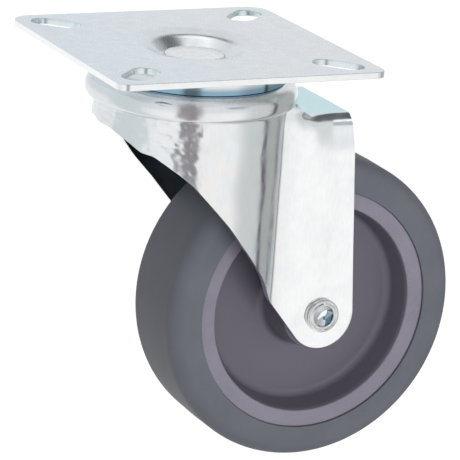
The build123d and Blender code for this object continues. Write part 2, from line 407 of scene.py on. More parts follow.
ZINC_TONE = (0.86, 0.865, 0.87)
ZINC_BLUE = (0.81, 0.85, 0.88)
ZINC_WARM = (0.88, 0.865, 0.85)
PLATE_BLUE = (0.835, 0.86, 0.88)
PLATE_WARM = (0.87, 0.86, 0.855)
# The fork's inner face is the same zinc, painted near black as shade.
INNER_SHADE_TONE = (0.10, 0.12, 0.14)
INNER_SHADE_BLUE = (0.09, 0.12, 0.15)
INNER_SHADE_WARM = (0.12, 0.12, 0.12)
ROLLED_GRAIN = (0.08, 1.2, 1)
DRAWN_GRAIN = (1, 1, 0.25)
plate_zinc = zinc(
    "plate zinc",
    ZINC_TONE,
    PLATE_BLUE,
    PLATE_WARM,
    rough=(0.24, 0.32),
    grain=ROLLED_GRAIN,
    wave=0.00003,
    regions=plate_regions,
)
fork_zinc = zinc(
    "fork zinc",
    ZINC_TONE,
    ZINC_BLUE,
    ZINC_WARM,
    rough=(0.12, 0.22),
    grain=DRAWN_GRAIN,
    wave=0.00018,
    regions=fork_regions,
)
inner_shade_zinc = zinc(
    "inner zinc painted shade",
    INNER_SHADE_TONE,
    INNER_SHADE_BLUE,
    INNER_SHADE_WARM,
    rough=(0.35, 0.5),
    grain=DRAWN_GRAIN,
    wave=0.0001,
)
race_zinc = zinc(
    "race zinc",
    ZINC_TONE,
    ZINC_BLUE,
    ZINC_WARM,
    rough=(0.1, 0.18),
    grain=(1, 1, 1),
    wave=0.0001,
    regions=cap_regions,
)
pin_steel = steel("pin steel", (0.92, 0.93, 0.92), 0.14, 0.22)
rivet_steel = steel("rivet steel", (0.84, 0.83, 0.82), 0.12, 0.2)
# Painted light on the rivet's punched facets: a white highlight, a lilac sheen, a teal tint and dark shade.
facet_highlight = steel("white facet painted highlight", (0.97, 0.98, 0.98), 0.4, 0.5)
facet_lilac_sheen = steel("lilac facet painted sheen", (0.80, 0.80, 0.86), 0.4, 0.5)
facet_teal = steel("teal facet", (0.50, 0.72, 0.77), 0.3, 0.4)
facet_shade = steel("dark facet painted shade", (0.16, 0.26, 0.31), 0.3, 0.4)
ball_steel = steel("ball steel", (0.80, 0.80, 0.80), 0.06, 0.12)
hub_plastic = moulded(
    "hub plastic",
    tone=(0.230, 0.215, 0.270),
    light=(0.263, 0.246, 0.304),
    rough=0.33,
    speck_scale=1800,
    speck_depth=0.00003,
    # Painted shade inside the hub's rim.
    hollow=(0.132, 0.123, 0.158),
)
tyre_rubber = moulded(
    "tyre rubber",
    tone=(0.125, 0.134, 0.158),
    light=(0.144, 0.153, 0.178),
    rough=0.5,
    speck_scale=2400,
    speck_depth=0.000012,
)


# Fork: the outer face as a grid, the inner face under it point by point, and the cut edges between

LIP_LEVEL = -23.2
SWEEP = 25
ANKLE_X, ANKLE_Z = 20.5, -77.3
FRONT_REACH = 0.5
SHELF_FLOW = 3.8
LEG_SWELL = 3.6
LEG_SINK = 1.2
FRONT_FLARE = 0.7
FAR_FRONT_LIFT = 1.7
NECK_DROP = 8.1
NECK_STRAIGHT = 0.4
NECK_FOOT = CROWN_TOP - NECK_DROP - NECK_STRAIGHT
NECK_UNDERCUT = radians(20)
CROWN_BORE = 14.2
CROWN_POINTS = 72
GROOVE_RADIUS = 23.92
GROOVE_HALF = 2.23
GROOVE_DEPTH = 1.29
BEND_SIDE = LEG_OUTER - SHELF_BEND
BEND_LEVEL = SHELF_TOP - SHELF_BEND
REAR_LEAN = (TRAIL + LEG_END - SHELF_REACH) / (AXLE_DROP + SHELF_TOP)
BASE_START, BASE_STOP = -112, -68
LEG_ROWS = 32
FRONT_START, FRONT_FULL = radians(118), radians(160)
CRUMPLE_START, CRUMPLE_FULL = radians(98), radians(116)
FLARE_START, FLARE_FULL = radians(140), radians(168)
FILL_FULL, FILL_END = 31, 40

front_line = rounded(
    [
        (-BEAD_REACH - 1, LIP_LEVEL, 0),
        (-29.8, -23.3, 1.0),
        (-24.4, -28.6, 0.8),
        (-21.6, -29.2, 1.2),
        (-12.0, -36.1, SWEEP),
        (1.5, -50.8, SWEEP),
        (15.8, -68.8, SWEEP),
        (ANKLE_X, ANKLE_Z, SWEEP),
        (31.76, -91.6, 0),
    ]
)


def cut_height(reach):
    """Height of the legs' front edge at a place along X."""
    return np.interp(reach, front_line[:, 0], front_line[:, 1])


def crown_line(share):
    """Section of the crown and bead, which is drawn wider as share goes to 1 at the fork's front."""
    reach = BEAD_REACH + FRONT_REACH * share
    neck = CROWN_TOP - NECK_DROP
    corners = [
        (CROWN_BORE, CROWN_TOP, 0),
        (GROOVE_RADIUS - GROOVE_HALF, CROWN_TOP, 2.5),
        (GROOVE_RADIUS, CROWN_TOP - GROOVE_DEPTH, 3.3),
        (GROOVE_RADIUS + GROOVE_HALF, CROWN_TOP, 2.5),
        (reach, CROWN_TOP, BEAD_RADIUS),
        (reach, neck + (reach - SKIRT_RADIUS) * tan(NECK_UNDERCUT), 2.0 + 0.6 * share),
        (SKIRT_RADIUS, neck, 0.45),
        (SKIRT_RADIUS, NECK_FOOT, 0),
    ]
    return resampled(rounded(corners, step=8), CROWN_POINTS)


crease_side = LEG_OUTER + CREASE
leg_crease_reach = ((SKIRT_RADIUS + CREASE) ** 2 - crease_side**2) ** 0.5
crease_azimuth = atan2(-crease_side, leg_crease_reach)
ankle_slope = atan2(-ANKLE_Z - AXLE_DROP, TRAIL - ANKLE_X)
toe_angle = ankle_slope - asin(LEG_END / hypot(TRAIL - ANKLE_X, AXLE_DROP + ANKLE_Z)) - pi / 2


def front_share(azimuth):
    """Goes from 0 over the near and rear sides to 1 at the fork's front."""
    return ramp(abs(azimuth), FRONT_START, FRONT_FULL)


def channel_section(leg_rows):
    """Rows across the channel from leg to leg over the shelf: kind, place on it, outward direction."""
    rows = []
    for share in leg_rows[:-1]:
        rows.append(("leg", share, -1.0, 0.0))
    for angle in np.linspace(pi, pi / 2, 9):
        rows.append(("bend", 0.0, cos(angle), sin(angle)))
    for place in np.linspace(-BEND_SIDE, BEND_SIDE, 37)[1:-1]:
        rows.append(("shelf", place, 0.0, 1.0))
    for angle in np.linspace(pi / 2, 0, 9):
        rows.append(("bend", 1.0, cos(angle), sin(angle)))
    for share in leg_rows[:-1][::-1]:
        rows.append(("leg", share, 1.0, 0.0))
    return rows


def fork_patches(depth):
    """Grids of points on the fork's face, depth under its outer face, that meet along shared edges."""
    inner_radius = SKIRT_RADIUS - depth
    strip_reach = leg_crease_reach * inner_radius / (SKIRT_RADIUS + CREASE)
    leg_bottom = float(cut_height(strip_reach))
    leg_shares = np.linspace(0, 1, 56)
    leg_levels = leg_bottom + (BEND_LEVEL - leg_bottom) * leg_shares

    # Strip round the crease, then the channel from the crease to the rear edge
    rows = []
    foot_azimuths = []
    foot_levels = []
    for kind, share, side, up in channel_section(leg_shares):
        if kind == "leg":
            level = leg_bottom + (BEND_LEVEL - leg_bottom) * share
            base = (side * LEG_OUTER, level)
        elif kind == "bend":
            bend_side = -BEND_SIDE if share == 0 else BEND_SIDE
            base = (bend_side + SHELF_BEND * side, BEND_LEVEL + SHELF_BEND * up)
        else:
            base = (share, SHELF_TOP)
        centre_y = base[0] + CREASE * side
        centre_z = base[1] + CREASE * up
        reach = ((SKIRT_RADIUS + CREASE) ** 2 - centre_y**2) ** 0.5
        centre = np.array([reach, centre_y, centre_z])
        to_channel = np.array([0.0, -side, -up])
        to_skirt = -np.array([reach, centre_y, 0.0]) / (SKIRT_RADIUS + CREASE)
        spread = np.arccos(np.clip(to_channel @ to_skirt, -1, 1))
        row = []
        for part in np.linspace(0, 1, 6):
            arm = to_skirt * sin(spread * (1 - part)) + to_channel * sin(spread * part)
            row.append(centre + (CREASE + depth) * arm / sin(spread))
        rear = SHELF_REACH + (SHELF_TOP - base[1] + depth * up) * REAR_LEAN
        start = row[-1]
        for part in np.linspace(0, 1, 31)[1:]:
            row.append(np.array([start[0] + (rear - start[0]) * part, start[1], start[2]]))
        rows.append(row)
        foot_azimuths.append(atan2(row[0][1], row[0][0]))
        foot_levels.append(row[0][2])
    channel = np.array(rows)
    leg_count = len(leg_shares) - 1
    crossing = slice(leg_count, len(rows) - leg_count)

    # Skirt, in columns down from the bead to the channel behind and to the cut edge in front
    neck_rows = np.linspace(0, 1, 7)
    behind = []
    for azimuth, level in zip(foot_azimuths[crossing], foot_levels[crossing]):
        levels = NECK_FOOT + (level - NECK_FOOT) * neck_rows
        behind.append([(inner_radius * cos(azimuth), inner_radius * sin(azimuth), z) for z in levels])
    behind = np.array(behind)
    column = np.concatenate([NECK_FOOT + (BEND_LEVEL - NECK_FOOT) * neck_rows, leg_levels[::-1][1:]])
    shares = (column - NECK_FOOT) / (column[-1] - NECK_FOOT)
    azimuths = np.linspace(-pi, crease_azimuth, 92)
    front = []
    for azimuth in azimuths:
        cut_radius = inner_radius + (SKIRT_RADIUS - inner_radius) * front_share(azimuth)
        bottom = cut_height(cut_radius * cos(azimuth))
        levels = NECK_FOOT + (bottom - NECK_FOOT) * shares
        front.append([(inner_radius * cos(azimuth), inner_radius * sin(azimuth), z) for z in levels])
    front = np.array(front)

    # Crown and bead, turned about the kingpin through the same columns
    around = np.concatenate([azimuths[:-1], foot_azimuths[crossing], -azimuths[::-1][1:]])
    columns = []
    for azimuth in around:
        line = crown_line(front_share(azimuth))
        if depth:
            line = offset(line, depth)
        line[-1] = (inner_radius, NECK_FOOT)
        columns.append([(radius * cos(azimuth), radius * sin(azimuth), level) for radius, level in line])
    crown = np.array(columns)

    # Lower leg, spread between the cut edge, the rear edge and the rounded end
    top = channel[0][:, [0, 2]]
    reach = (top[:, 0] - top[0, 0]) / (top[-1, 0] - top[0, 0])

    def end_arc(start, stop, shares):
        """Points of the rounded end between two bearings from the axle, in degrees."""
        angles = radians(start) + (radians(stop) - radians(start)) * np.asarray(shares)
        return np.stack([TRAIL + LEG_END * np.cos(angles), -AXLE_DROP + LEG_END * np.sin(angles)], axis=1)

    toe = toe_angle * 180 / pi
    lower_front = [point for point in front_line if point[0] > strip_reach + 0.01]
    left = np.vstack([[top[0]], lower_front[:-1], end_arc(toe, BASE_START, np.linspace(0, 1, 6))])
    right = np.vstack([[top[-1]], end_arc(0, BASE_STOP, np.linspace(0, 1, 14))])
    left, right = resampled(left, LEG_ROWS), resampled(right, LEG_ROWS)
    base = end_arc(BASE_START, BASE_STOP, reach)
    down = np.linspace(0, 1, LEG_ROWS)[:, None, None]
    over = reach[None, :, None]
    lower = (
        (1 - down) * top[None]
        + down * base[None]
        + (1 - over) * left[:, None]
        + over * right[:, None]
        - (1 - down) * (1 - over) * top[0]
        - (1 - down) * over * top[-1]
        - down * (1 - over) * base[0]
        - down * over * base[-1]
    )
    radius = CREASE + depth
    hollow = np.minimum(lower[..., 0] - leg_crease_reach, 0)
    side = -crease_side + np.sqrt(np.maximum(radius**2 - hollow**2, 0))
    near_lower = np.stack([lower[..., 0], side, lower[..., 1]], axis=-1)
    near_lower[0] = channel[0]
    mirror = np.array([1, -1, 1])
    return [channel, behind, front, front * mirror, crown, near_lower, near_lower * mirror]


def corner_shift(x, y, z):
    """Shift where the bead runs down into the shelf, and where the tops of the legs swell and sink."""
    radius = hypot(x, y)
    shift = np.zeros(3)
    if x < 0 or z > CROWN_TOP - BEAD_RADIUS:
        return shift
    outward = np.array([x, y, 0.0]) / radius
    azimuth = abs(atan2(y, x)) * 180 / pi

    # The neck under the bead fills up where the bead meets the shelf
    share = 1 - ramp(azimuth, FILL_FULL, FILL_END)
    fill = BEAD_REACH - SKIRT_RADIUS
    if z > NECK_FOOT:
        fill = max(0.0, BEAD_REACH - radius) * ramp(z, CROWN_TOP - BEAD_RADIUS, NECK_FOOT)
    elif z < SHELF_TOP - 0.5:
        fill *= ramp(z, SHELF_TOP - 9, SHELF_TOP)
    fill *= 1 - ramp(radius, SKIRT_RADIUS + 0.4, SKIRT_RADIUS + 6)
    shift += share * fill * outward

    # The bead flows into the shelf in a wide hollow curve
    reach = radius + fill - BEAD_REACH
    height = z - SHELF_TOP
    if -0.5 < height < SHELF_FLOW and reach < SHELF_FLOW:
        if height > reach:
            angle = (1 - height / SHELF_FLOW) * pi / 4
        else:
            angle = pi / 2 - (1 - max(0.0, reach) / SHELF_FLOW) * pi / 4
        shift += share * (SHELF_FLOW * (1 - cos(angle)) - reach) * outward
        shift[2] += share * (SHELF_FLOW * (1 - sin(angle)) - height)
    if z > NECK_FOOT:
        return shift

    # The tops of the legs swell by the skirt and sink further back
    side = 1 if y > 0 else -1
    swell = min(1.0, max(0.0, (leg_crease_reach + 12 - x) / 11)) ** 1.5
    swell *= ramp(x, leg_crease_reach - 2, leg_crease_reach + 1.2)
    swell *= ramp(abs(y), LEG_OUTER - 6.5, LEG_OUTER - 2)
    shift[1] += side * swell * 0.75 * max(0.0, LEG_OUTER - abs(y))
    shift[2] += LEG_SWELL * swell * ramp(z, SHELF_TOP - 7, SHELF_TOP - 1.5)
    sink = ramp(x, 33, 41) * ramp(z, SHELF_TOP - 12, SHELF_TOP - 4)
    sink *= ramp(abs(y), LEG_OUTER - 5, LEG_OUTER - 2)
    shift[1] -= side * LEG_SINK * sink
    return shift


FOLD_GRAIN = (0.42, 0.42, 0.42)
CREASE_GRAIN = (0.25, 0.25, 1.3)
SWELL_GRAIN = (0.09, 0.09, 0.07)
RIPPLE_GRAIN = (0.35, 0.35, 0.16)
SPECKLE_GRAIN = (1.1, 1.1, 0.8)
FOLD_HEIGHT = 0.15
CREASE_HEIGHT = 0.08
SWELL_HEIGHT = 0.14
RIPPLE_HEIGHT = 0.03
SPECKLE_HEIGHT = 0.07
BEAD_CREASE = 0.05
BEAD_FOLD = 0.03


def dent(place, grain, start=0.0):
    """Noise at a place in millimetres, with its grain along each axis."""
    x, y, z = place
    return noise.noise(Vector((x * grain[0] + start, y * grain[1], z * grain[2])))


def dented(points, rest):
    """The corners over the legs, and the hammered look of the drawn skirt, alike on both faces."""
    moved = points.copy()
    for number, place in enumerate(rest):
        x, y, z = place
        moved[number] += corner_shift(x, y, z)
        azimuth = atan2(y, x)
        outward = np.array([cos(azimuth), sin(azimuth), 0.0])
        if z > CROWN_TOP - BEAD_RADIUS and hypot(x, y) < SKIRT_RADIUS - 2:
            continue  # The flat crown and its ball groove stay true
        crumple = ramp(abs(azimuth), CRUMPLE_START, CRUMPLE_FULL)
        fold = dent(place, FOLD_GRAIN)
        crease = dent(place, CREASE_GRAIN, 9)
        if z > NECK_FOOT:
            moved[number] += crumple * (BEAD_CREASE * crease + BEAD_FOLD * fold) * outward
            continue
        swell = dent(place, SWELL_GRAIN)
        ripple = dent(place, RIPPLE_GRAIN, 40)
        speckle = dent(place, SPECKLE_GRAIN)
        depth = min(1.0, (NECK_FOOT - z) / 5)
        amount = depth * (SWELL_HEIGHT * swell + RIPPLE_HEIGHT * ripple)
        amount += crumple * (FOLD_HEIGHT * fold + CREASE_HEIGHT * crease + SPECKLE_HEIGHT * speckle)
        amount += FRONT_FLARE * ramp(abs(azimuth), FLARE_START, FLARE_FULL) * (NECK_FOOT - z) / 7
        far_front = ramp(azimuth, radians(100), radians(138)) * (1 - ramp(azimuth, FLARE_FULL, pi))
        moved[number][2] += FAR_FRONT_LIFT * far_front * (NECK_FOOT - z) / 8
        away = outward
        if x > leg_crease_reach:
            away = np.array([0.0, 1.0 if y > 0 else -1.0, 0.0])
            if abs(z - SHELF_TOP) < 1.5 and abs(y) < BEND_SIDE:
                away = np.array([0.0, 0.0, 1.0])
        moved[number] += amount * away
    return moved


def build_fork():
    """The pressed fork: both faces of its sheet, the cut edges between them, and its worn edges."""
    outer_grids = fork_patches(0.0)
    inner_grids = fork_patches(SHEET)
    outer = np.vstack([grid.reshape(-1, 3) for grid in outer_grids])
    inner = np.vstack([grid.reshape(-1, 3) for grid in inner_grids])
    keys = np.round(outer, 4) + 0.0
    _, first, index = np.unique(keys, axis=0, return_index=True, return_inverse=True)
    index = index.reshape(-1)
    faces = []
    start = 0
    for grid in outer_grids:
        rows, columns = grid.shape[:2]
        for face in grid_faces(rows, columns, start):
            corners = [int(index[corner]) for corner in face]
            kept = [c for place, c in enumerate(corners) if c != corners[place - 1]]
            if len(kept) > 2:
                faces.append(tuple(kept))
        start += rows * columns
    outer, inner = outer[first], inner[first]
    outer, inner = dented(outer, outer), dented(inner, outer)
    count = len(outer)
    uses = {}
    for face in faces:
        for place, corner in enumerate(face):
            edge = frozenset((corner, face[place - 1]))
            uses[edge] = uses.get(edge, 0) + 1
    rims = [tuple(edge) for edge, times in uses.items() if times == 1]
    under = [tuple(corner + count for corner in reversed(face)) for face in faces]
    walls = [(a, b, b + count, a + count) for a, b in rims]
    vertices = np.vstack([outer, inner])
    fork = make("fork_sheet", vertices, faces + under + walls, "fork", ["fork"], fork_zinc)
    # The inner face of the sheet takes the zinc painted dark as shade.
    fork.data.materials.append(inner_shade_zinc)
    for face in fork.data.polygons:
        face.material_index = 1 if len(faces) <= face.index < len(faces) + len(under) else 0
    bevel = fork.modifiers.new("Worn edges", "BEVEL")
    bevel.width = 0.45 * MM
    bevel.segments = 3
    bevel.limit_method = "ANGLE"
    bevel.angle_limit = radians(38)
    weigh_normals(fork)


build_fork()

# Top plate: flat sheet with rounded edges, four slots and the pressed dish

NEAR_CORNER = 4.3
FAR_CORNER = 6.6
PLATE_EDGE = 0.15
SLOT_EDGE = 0.25
SLOT_LENGTH = 16.4
SLOT_WIDTH = 8.9
DISH_MOUTH = 21.8
DISH_SEGMENTS = 144
PIN_HOLE = 6.05


def plate_loop(inset):
    """The plate's outline, moved inwards by inset, with tighter corners on the near side."""
    half = PLATE_HALF - inset
    tight, wide = NEAR_CORNER - inset, FAR_CORNER - inset
    corners = [(-half, -half, tight), (half, -half, tight), (half, half, wide), (-half, half, wide)]
    return divided(rounded(corners, step=6, closed=True), 4.0, closed=True)


def slot_loop(angle, inset):
    """The outline of the slot on the diagonal at this angle, moved inwards by inset."""
    run = SLOT_LENGTH / 2 - SLOT_WIDTH / 2
    radius = SLOT_WIDTH / 2 - inset
    centre = hypot(SLOT_OFFSET, SLOT_OFFSET)
    points = []
    for end, start in ((1, -pi / 2), (-1, pi / 2)):
        for part in np.linspace(0, pi, 25):
            turn = start + part
            points.append((centre + end * run + radius * cos(turn), radius * sin(turn)))
    spin = np.array([[cos(angle), sin(angle)], [-sin(angle), cos(angle)]])
    return np.array(points) @ spin


def dish_line(depth):
    """The dish from the plate's face down to its floor and the pin's hole, depth under the upper face."""
    corners = [
        (DISH_MOUTH, 0, 0),
        (15.4, -1.1, 4.5),
        (11.0, -DISH_DEPTH, 2.2),
        (PIN_HOLE, -DISH_DEPTH, 0),
    ]
    line = divided(rounded(corners, step=5), 1.5)
    return offset(line, -depth) if depth else line


def bridge(work, upper, lower):
    """Faces between two closed rings of vertices."""
    for place in range(len(upper)):
        work.faces.new((upper[place], upper[place - 1], lower[place - 1], lower[place]))


def ring_edges(work, ring):
    """The edges along a closed ring of vertices."""
    return [work.edges.get((ring[place], ring[place - 1])) for place in range(len(ring))]


def build_plate():
    """The top plate: its rim, slots and dish, joined by the flat upper and lower faces."""
    loops = [(plate_loop, PLATE_EDGE)]
    for corner in range(4):
        angle = pi / 4 + corner * pi / 2
        loops.append((lambda inset, angle=angle: slot_loop(angle, -inset), SLOT_EDGE))
    work = bmesh.new()
    level_edges = {0: [], 1: []}
    for loop, edge in loops:
        rings = []
        for part in np.linspace(0, pi / 2, 5):
            rings.append((loop(edge * (1 - sin(part))), -edge * (1 - cos(part))))
        for part in np.linspace(pi / 2, 0, 5):
            rings.append((loop(edge * (1 - sin(part))), -SHEET + edge * (1 - cos(part))))
        made = []
        for points, level in rings:
            made.append([work.verts.new((x * MM, y * MM, level * MM)) for x, y in points])
        for upper, lower in zip(made[:-1], made[1:]):
            bridge(work, upper, lower)
        level_edges[0] += ring_edges(work, made[0])
        level_edges[1] += ring_edges(work, made[-1])
    angles = np.linspace(0, 2 * pi, DISH_SEGMENTS, endpoint=False)
    dish = []
    for key, depth in ((0, 0.0), (1, SHEET)):
        rings = []
        for radius, level in dish_line(depth):
            spots = [(radius * cos(a) * MM, radius * sin(a) * MM, level * MM) for a in angles]
            rings.append([work.verts.new(spot) for spot in spots])
        for upper, lower in zip(rings[:-1], rings[1:]):
            bridge(work, upper, lower)
        level_edges[key] += ring_edges(work, rings[0])
        dish.append(rings[-1])
    bridge(work, *dish)
    for key, direction in ((0, 1), (1, -1)):
        bmesh.ops.triangle_fill(
            work,
            use_beauty=True,
            use_dissolve=False,
            edges=level_edges[key],
            normal=(0, 0, direction),
        )
    bmesh.ops.recalc_face_normals(work, faces=work.faces)
    vertices = [tuple(v.co / MM) for v in work.verts]
    work.verts.index_update()
    faces = [tuple(v.index for v in face.verts) for face in work.faces]
    work.free()
    plate = make("top_plate_sheet", vertices, faces, "plate", ["top_plate"], plate_zinc)
    weigh_normals(plate)


build_plate()

# Cap of the upper race

CAP_DROP = 7.35
cap_wall = cap_high.x / MM


def race_section(start_level, corners):
    """The dish's slope at one depth in the stack, then the rest of the sheet's upper line."""
    slope = dish_line(-start_level - DISH_DEPTH)[::-1][1:]
    line = divided(np.vstack([slope, rounded(corners)]), 1.0)
    inner = offset(line, SHEET)
    ring = [*line, *inner[::-1]]
    turns = {0, len(line) - 1, len(line), len(ring) - 1}
    section = [(x, y, 0.25 if number in turns else 0) for number, (x, y) in enumerate(ring)]
    return rounded(section, step=30, closed=True)


cap_section = race_section(
    -DISH_DEPTH - SHEET,
    [(22.0, -SHEET, 0), (cap_wall, -SHEET, 4.0), (cap_wall, -SHEET - CAP_DROP, 0)],
)
cap_points, cap_faces = lathe(cap_section)
weigh_normals(
    make("upper_race_cap_sheet", cap_points, cap_faces, "plate", ["upper_race_cap"], race_zinc)
)

# Kingpin and rivet

PIN_HEAD = 9.5
PIN_SHANK = 6.0
PEENED_END = 8.2
PEENED_HEIGHT = 2.6
pin_top = pin_high.z / MM
pin_end = pin_low.z / MM
pin_corners = [
    (0, pin_top + 0.12, 0),
    (PIN_HEAD, pin_top, 0.7),
    (PIN_HEAD, -DISH_DEPTH, 0),
    (PIN_SHANK, -DISH_DEPTH, 0),
    (PIN_SHANK, pin_end + PEENED_HEIGHT, 0),
    (PEENED_END, pin_end + PEENED_HEIGHT, 0.3),
    (PEENED_END, pin_end, 0.8),
    (0, pin_end, 0),
]
pin_points, pin_faces = lathe(divided(rounded(pin_corners, step=12), 0.8), closed=False, segments=120)
weigh_normals(make("kingpin_turned", pin_points, pin_faces, "plate", ["kingpin"], pin_steel))

near_end = rivet_low.y / MM
far_end = rivet_high.y / MM
RECESS = 3.45
ROLLED_RING = 5.4
RIVET_SHANK = 4.0
RIVET_HEAD = 7.0
RIM_FACETS = 13
MIDDLE_FACETS = 7
FACET_TURN = 0.35
FACET_SPREAD = 0.12
FACET_DEPTH = 0.35
rivet_corners = [
    (RECESS, near_end + 2.6, 0),
    (RECESS, near_end + 0.1, 0.25),
    (3.95, near_end, 0.3),
    (4.4, near_end + 0.4, 0.12),
    (4.75, near_end + 0.1, 0.25),
    (ROLLED_RING, near_end + 0.35, 0.45),
    (ROLLED_RING, -LEG_OUTER - 0.35, 0.25),
    (ROLLED_RING - 0.3, -LEG_OUTER, 0),
    (RIVET_SHANK, -LEG_OUTER, 0),
    (RIVET_SHANK, LEG_OUTER, 0),
    (RIVET_HEAD, LEG_OUTER, 0),
    (RIVET_HEAD, far_end - 0.1, 1.1),
    (0, far_end, 0),
]
rivet_section = divided(rounded(rivet_corners, step=12), 0.6)
rivet_points, rivet_faces = lathe(rivet_section, "Y", 96, closed=False)


def punched_recess(first):
    """Flat facets that the punch leaves in the rolled end: rim, middle ring and an off-centre point."""
    points = []
    rings = ((RIM_FACETS, RECESS + 0.1, 1.0), (MIDDLE_FACETS, 1.9, 1.7), (1, 0.0, 2.3))
    for count, radius, depth in rings:
        uneven = 1 if count == MIDDLE_FACETS else 0
        lean = 0.0 if count == RIM_FACETS else 1.0 - radius / RECESS
        for number in range(count):
            angle = 2 * pi * number / count + FACET_TURN * sin(5.0 * number + count)
            spread = radius * (1 + uneven * FACET_SPREAD * sin(3.0 * number + radius))
            across = TRAIL + spread * cos(angle) + lean
            sunk = near_end + depth + uneven * FACET_DEPTH * sin(2.0 * number)
            points.append((across, sunk, -AXLE_DROP + spread * sin(angle) + 0.5 * lean))
    outer = list(range(RIM_FACETS))
    middle = list(range(RIM_FACETS, RIM_FACETS + MIDDLE_FACETS))
    tip = RIM_FACETS + MIDDLE_FACETS
    faces = [(middle[n], middle[(n + 1) % MIDDLE_FACETS], tip) for n in range(MIDDLE_FACETS)]
    place = 0
    for number in range(RIM_FACETS):
        wanted = round((number + 1) * MIDDLE_FACETS / RIM_FACETS)
        following = outer[(number + 1) % RIM_FACETS]
        faces.append((outer[number], following, middle[place % MIDDLE_FACETS]))
        while place < wanted:
            start = middle[place % MIDDLE_FACETS]
            place += 1
            faces.append((following, start, middle[place % MIDDLE_FACETS]))
    return points, [tuple(first + corner for corner in face) for face in faces]


facet_points, facet_faces = punched_recess(len(rivet_points))
rivet = make(
    "axle_rivet_rolled",
    np.vstack([rivet_points, facet_points]),
    rivet_faces + facet_faces,
    "fork",
    ["axle_rivet"],
    rivet_steel,
)
# Painted light: facets facing up take the white highlight, those facing left the lilac sheen, and the rest
# the teal tint or dark shade.
for finish in (facet_highlight, facet_lilac_sheen, facet_teal, facet_shade):
    rivet.data.materials.append(finish)
LIT_FACET, LILAC_SHEEN_FACET, TEAL, SHADED_FACET = 1, 2, 3, 4
for face in rivet.data.polygons:
    across = face.center.x / MM - TRAIL
    over = face.center.z / MM + AXLE_DROP
    if len(face.vertices) == 3 and hypot(across, over) < RECESS and face.center.y < 0:
        face.use_smooth = False
        bearing = atan2(over - 0.5, across - 0.9) * 180 / pi
        if 60 < bearing < 165:
            face.material_index = LIT_FACET
        elif bearing > 165 or bearing < -95:
            face.material_index = LILAC_SHEEN_FACET
        else:
            face.material_index = (TEAL, SHADED_FACET, TEAL, LIT_FACET, SHADED_FACET)[face.index * 3 % 5]
weigh_normals(rivet)

# Hub and tyre

HUB_BORE = 6.06
BOSS_RADIUS = 12.0
WEB_HALF = 5.0
RIM_HALF = 15.3
KEY_DEPTH = 2.0
WHEEL_SEGMENTS = 240


def wheel_ring(corners, step):
    """A closed section of the wheel turned about the axle."""
    section = divided(rounded(corners, step=step, closed=True), 1.0, closed=True)
    return lathe(section, "Y", WHEEL_SEGMENTS)


rim_inner = RIM_RADIUS - RIM_WALL
hub_side = [
    (HUB_BORE, BOSS_HALF, 0.3),
    (BOSS_RADIUS, BOSS_HALF, 0.5),
    (BOSS_RADIUS + 1.4, WEB_HALF, 2.5),
    (rim_inner - 2.0, WEB_HALF, 2.5),
    (rim_inner, RIM_HALF - 0.8, 0.5),
    (RIM_RADIUS, RIM_HALF, 0.35),
    (RIM_RADIUS, WEB_HALF, 0),
    (RIM_RADIUS - KEY_DEPTH, WEB_HALF, 0),
]
hub_corners = hub_side + [(r, -y, radius) for r, y, radius in hub_side[::-1]]
hub_points, hub_faces = wheel_ring(hub_corners, 9)
weigh_normals(
    make("wheel_hub_moulded", hub_points, hub_faces, "wheel", ["wheel_hub"], hub_plastic)
)

TREAD_CROWN = 0.25
TYRE_SHOULDER = 5.2
tyre_side = [
    (RIM_RADIUS - KEY_DEPTH, WEB_HALF, 0),
    (RIM_RADIUS, WEB_HALF, 0),
    (RIM_RADIUS, TYRE_HALF, 0.3),
    (WHEEL_RADIUS - TREAD_CROWN, TYRE_HALF, TYRE_SHOULDER),
    (WHEEL_RADIUS, 0, 0),
]
tyre_corners = tyre_side + [(r, -y, radius) for r, y, radius in tyre_side[::-1][1:]]
tyre_points, tyre_faces = wheel_ring(tyre_corners, 6)
weigh_normals(make("tyre_moulded", tyre_points, tyre_faces, "wheel", ["tyre"], tyre_rubber))

# Finishes of the CAD pieces that stay as they are

for node_name, node in frame["nodes"].items():
    if node.hide_render:
        continue
    finish = ball_steel if "ball" in node_name else pin_steel
    # The lower cup lies below the cap's rim, so it takes the same dark blue painted shade all over.
    if node_name == "lower_race_cup":
        finish = race_zinc
    node.data.materials.clear()
    node.data.materials.append(finish)
    for face in node.data.polygons:
        face.use_smooth = True

# Camera: place, direction and lens that lay the plate, wheel and axle on the photograph

SENSOR = 36.0
FOCAL_PIXELS = 2940.19
IMAGE_PIXELS = 460
CAMERA_PLACE = Vector((-0.3844287, -0.7936529, 0.207781))
camera_data = bpy.data.cameras.new("camera")
camera = bpy.data.objects.new("camera", camera_data)
bpy.context.scene.collection.objects.link(camera)
bpy.context.scene.camera = camera
yaw, pitch, roll = radians(-26.8001), radians(-16.838), radians(4.0328)
forward = Vector((-sin(yaw) * cos(pitch), cos(yaw) * cos(pitch), sin(pitch)))
level = Vector((cos(yaw), sin(yaw), 0))
rise = level.cross(forward)
right = level * cos(roll) + rise * sin(roll)
up = rise * cos(roll) - level * sin(roll)
turn = Matrix((right, up, -forward)).transposed().to_4x4()
camera.matrix_world = Matrix.Translation(CAMERA_PLACE) @ turn
camera_data.sensor_width = SENSOR
camera_data.lens = SENSOR * FOCAL_PIXELS / IMAGE_PIXELS
camera_data.clip_start = 0.05
camera_data.clip_end = 20.0

# Floor, sky and lamp

